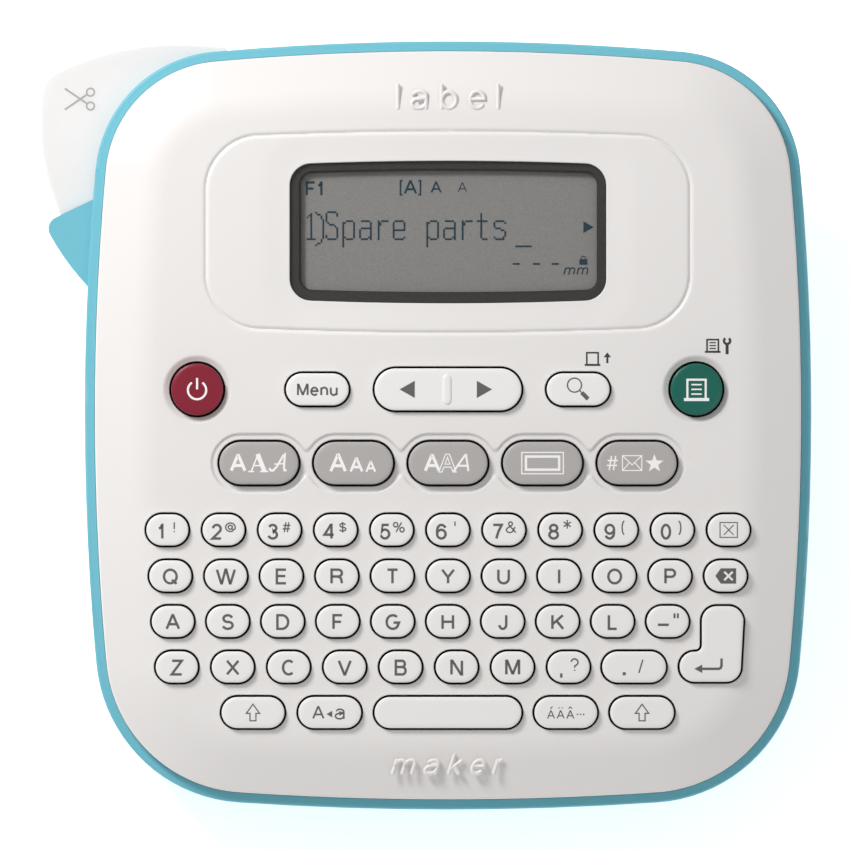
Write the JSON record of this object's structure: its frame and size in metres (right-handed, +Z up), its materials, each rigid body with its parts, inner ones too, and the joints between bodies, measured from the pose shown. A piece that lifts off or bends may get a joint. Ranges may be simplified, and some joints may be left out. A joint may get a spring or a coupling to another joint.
{
  "type": "label maker",
  "caption": "Desktop label maker with a tilted keyboard, display window, side cutter lever, tape guard and a hinged wedge-shaped back cover over tape cassette and batteries.",
  "frame": {"origin": "on the table, under the middle of the bounding box", "axes": "+X to the machine's right, +Y to its back, +Z up; the key face is tilted 17 degrees towards the user"},
  "size_m": [0.1566, 0.1509, 0.0681],
  "materials": {
    "cover_white": "fine moulded texture",
    "case_turquoise": "fine moulded texture",
    "key_white": "satin",
    "key_grey": "satin",
    "key_burgundy": "satin",
    "key_green": "satin",
    "window_clear": "polished",
    "bezel_grey": "gloss",
    "lcd": "matte polariser",
    "lever_milky": "translucent gloss",
    "silicone": "matte",
    "board_green": "solder mask",
    "plastic_dark": "matte",
    "plastic_gear": "acetal",
    "steel": "rolled sheet",
    "blade_steel": "ground",
    "motor_can": "zinc plated",
    "platen_rubber": "ground",
    "tape": "gloss film",
    "ribbon_film": "gloss film",
    "battery_wrap": "printed sleeve",
    "contact_metal": "nickel plated",
    "foot_rubber": "matte"
  },
  "bodies": {
    "machine": {"base_case": "case_turquoise", "top_cover": "cover_white", "display_window": "window_clear", "display_bezel": "bezel_grey", "lcd_glass": "lcd", "lcd_holder": "plastic_dark", "keypad_mat": "silicone", "main_board": "board_green", "cutter_pin": "steel", "lever_spring": "steel", "fixed_blade": "blade_steel", "mechanism_frame": "steel", "print_head": "steel", "motor": "motor_can", "tape_cassette": "plastic_dark", "label_tape": "tape", "batteries": "battery_wrap", "battery_springs": "contact_metal", "battery_contacts": "contact_metal", "dc_jack": "plastic_dark", "case_screws": "steel"},
    "back": {"back_cover": "case_turquoise", "rubber_feet": "foot_rubber"},
    "lever": {"cutter_lever": "lever_milky"},
    "blade": {"moving_blade": "blade_steel"},
    "drive": {"drive_gear": "plastic_gear"},
    "pinion": {"motor_pinion": "plastic_gear"},
    "platen": {"platen_roller": "platen_rubber", "platen_gear": "plastic_gear", "platen_shaft": "steel"},
    "label_roll": {"tape_roll": "tape"},
    "ribbon": {"ribbon_roll": "ribbon_film"},
    "takeup": {"takeup_roll": "ribbon_film"},
    "cursor": {"cursor_key": "key_white"},
    "power_button": {"power_key": "key_burgundy"},
    "menu_button": {"menu_key": "key_white"},
    "preview_button": {"preview_key": "key_white"},
    "print_button": {"print_key": "key_green"},
    "font_button": {"font_key": "key_grey"},
    "size_button": {"size_key": "key_grey"},
    "style_button": {"style_key": "key_grey"},
    "frame_button": {"frame_key": "key_grey"},
    "symbol_button": {"symbol_key": "key_grey"},
    "numbers_button": {"number_keys": "key_white"},
    "clear_button": {"clear_key": "key_white"},
    "top_letters_button": {"top_letter_keys": "key_white"},
    "backspace_button": {"backspace_key": "key_white"},
    "home_letters_button": {"home_letter_keys": "key_white"},
    "bottom_letters_button": {"bottom_letter_keys": "key_white"},
    "stop_button": {"stop_key": "key_white"},
    "shift_left_button": {"shift_key_left": "key_white"},
    "caps_button": {"caps_key": "key_white"},
    "space_button": {"space_key": "key_white"},
    "accent_button": {"accent_key": "key_white"},
    "shift_right_button": {"shift_key_right": "key_white"},
    "enter_button": {"enter_key": "key_white"}
  },
  "joints": [
    {"name": "back_cover_open", "type": "hinge", "parent": "machine", "child": "back", "pos_m": [0.0048, -0.06988, 0.00297], "axis": [-1, 0, 0], "range_deg": [0, 60]},
    {"name": "cutter_press", "type": "hinge", "parent": "machine", "child": "lever", "pos_m": [-0.0312, 0.06106, 0.0566], "axis": [0, -0.2924, 0.9563], "range_deg": [0, 12], "stiffness_Nm_per_rad": 0.3},
    {"name": "blade_cut", "type": "hinge", "parent": "machine", "child": "blade", "pos_m": [-0.0616, 0.04818, 0.02861], "axis": [1, 0, 0], "range_deg": [0, 24]},
    {"name": "drive_gear_spin", "type": "hinge", "parent": "machine", "child": "drive", "pos_m": [-0.05735, 0.03013, 0.021], "axis": [0, -0.2924, 0.9563], "continuous": true},
    {"name": "motor_pinion_spin", "type": "hinge", "parent": "machine", "child": "pinion", "pos_m": [-0.0542, 0.02056, 0.01807], "axis": [0, -0.2924, 0.9563], "continuous": true},
    {"name": "platen_spin", "type": "hinge", "parent": "machine", "child": "platen", "pos_m": [-0.0497, 0.03666, 0.03345], "axis": [0, -0.2924, 0.9563], "continuous": true},
    {"name": "label_roll_spin", "type": "hinge", "parent": "machine", "child": "label_roll", "pos_m": [-0.0027, 0.02806, 0.03114], "axis": [0, -0.2924, 0.9563], "continuous": true},
    {"name": "ribbon_spin", "type": "hinge", "parent": "machine", "child": "ribbon", "pos_m": [-0.0312, 0.01659, 0.02763], "axis": [0, -0.2924, 0.9563], "continuous": true},
    {"name": "takeup_spin", "type": "hinge", "parent": "machine", "child": "takeup", "pos_m": [-0.0307, 0.03237, 0.03246], "axis": [0, -0.2924, 0.9563], "continuous": true},
    {"name": "cursor_rock", "type": "hinge", "parent": "machine", "child": "cursor", "pos_m": [0.0048, 0.00525, 0.04832], "axis": [0, 0.9563, 0.2924], "range_deg": [-3, 3], "stiffness_Nm_per_rad": 0.05},
    {"name": "power_key_press", "type": "slide", "parent": "machine", "child": "power_button", "axis": [0, 0.2924, -0.9563], "range_m": [0, 0.0008], "stiffness_N_per_m": 400},
    {"name": "menu_key_press", "type": "slide", "parent": "machine", "child": "menu_button", "axis": [0, 0.2924, -0.9563], "range_m": [0, 0.0008], "stiffness_N_per_m": 400},
    {"name": "preview_key_press", "type": "slide", "parent": "machine", "child": "preview_button", "axis": [0, 0.2924, -0.9563], "range_m": [0, 0.0008], "stiffness_N_per_m": 400},
    {"name": "print_key_press", "type": "slide", "parent": "machine", "child": "print_button", "axis": [0, 0.2924, -0.9563], "range_m": [0, 0.0008], "stiffness_N_per_m": 400},
    {"name": "font_key_press", "type": "slide", "parent": "machine", "child": "font_button", "axis": [0, 0.2924, -0.9563], "range_m": [0, 0.0008], "stiffness_N_per_m": 400},
    {"name": "size_key_press", "type": "slide", "parent": "machine", "child": "size_button", "axis": [0, 0.2924, -0.9563], "range_m": [0, 0.0008], "stiffness_N_per_m": 400},
    {"name": "style_key_press", "type": "slide", "parent": "machine", "child": "style_button", "axis": [0, 0.2924, -0.9563], "range_m": [0, 0.0008], "stiffness_N_per_m": 400},
    {"name": "frame_key_press", "type": "slide", "parent": "machine", "child": "frame_button", "axis": [0, 0.2924, -0.9563], "range_m": [0, 0.0008], "stiffness_N_per_m": 400},
    {"name": "symbol_key_press", "type": "slide", "parent": "machine", "child": "symbol_button", "axis": [0, 0.2924, -0.9563], "range_m": [0, 0.0008], "stiffness_N_per_m": 400},
    {"name": "number_keys_press", "type": "slide", "parent": "machine", "child": "numbers_button", "axis": [0, 0.2924, -0.9563], "range_m": [0, 0.0008], "stiffness_N_per_m": 400},
    {"name": "clear_key_press", "type": "slide", "parent": "machine", "child": "clear_button", "axis": [0, 0.2924, -0.9563], "range_m": [0, 0.0008], "stiffness_N_per_m": 400},
    {"name": "top_letter_keys_press", "type": "slide", "parent": "machine", "child": "top_letters_button", "axis": [0, 0.2924, -0.9563], "range_m": [0, 0.0008], "stiffness_N_per_m": 400},
    {"name": "backspace_key_press", "type": "slide", "parent": "machine", "child": "backspace_button", "axis": [0, 0.2924, -0.9563], "range_m": [0, 0.0008], "stiffness_N_per_m": 400},
    {"name": "home_letter_keys_press", "type": "slide", "parent": "machine", "child": "home_letters_button", "axis": [0, 0.2924, -0.9563], "range_m": [0, 0.0008], "stiffness_N_per_m": 400},
    {"name": "bottom_letter_keys_press", "type": "slide", "parent": "machine", "child": "bottom_letters_button", "axis": [0, 0.2924, -0.9563], "range_m": [0, 0.0008], "stiffness_N_per_m": 400},
    {"name": "stop_key_press", "type": "slide", "parent": "machine", "child": "stop_button", "axis": [0, 0.2924, -0.9563], "range_m": [0, 0.0008], "stiffness_N_per_m": 400},
    {"name": "shift_key_left_press", "type": "slide", "parent": "machine", "child": "shift_left_button", "axis": [0, 0.2924, -0.9563], "range_m": [0, 0.0008], "stiffness_N_per_m": 400},
    {"name": "caps_key_press", "type": "slide", "parent": "machine", "child": "caps_button", "axis": [0, 0.2924, -0.9563], "range_m": [0, 0.0008], "stiffness_N_per_m": 400},
    {"name": "space_key_press", "type": "slide", "parent": "machine", "child": "space_button", "axis": [0, 0.2924, -0.9563], "range_m": [0, 0.0008], "stiffness_N_per_m": 400},
    {"name": "accent_key_press", "type": "slide", "parent": "machine", "child": "accent_button", "axis": [0, 0.2924, -0.9563], "range_m": [0, 0.0008], "stiffness_N_per_m": 400},
    {"name": "shift_key_right_press", "type": "slide", "parent": "machine", "child": "shift_right_button", "axis": [0, 0.2924, -0.9563], "range_m": [0, 0.0008], "stiffness_N_per_m": 400},
    {"name": "enter_key_press", "type": "slide", "parent": "machine", "child": "enter_button", "axis": [0, 0.2924, -0.9563], "range_m": [0, 0.0008], "stiffness_N_per_m": 400}
  ],
  "couplings": [
    {"joint": "blade_cut", "follows": "cutter_press", "ratio": 2},
    {"joint": "motor_pinion_spin", "follows": "drive_gear_spin", "ratio": -2.5},
    {"joint": "platen_spin", "follows": "drive_gear_spin", "ratio": -1.5}
  ]
}
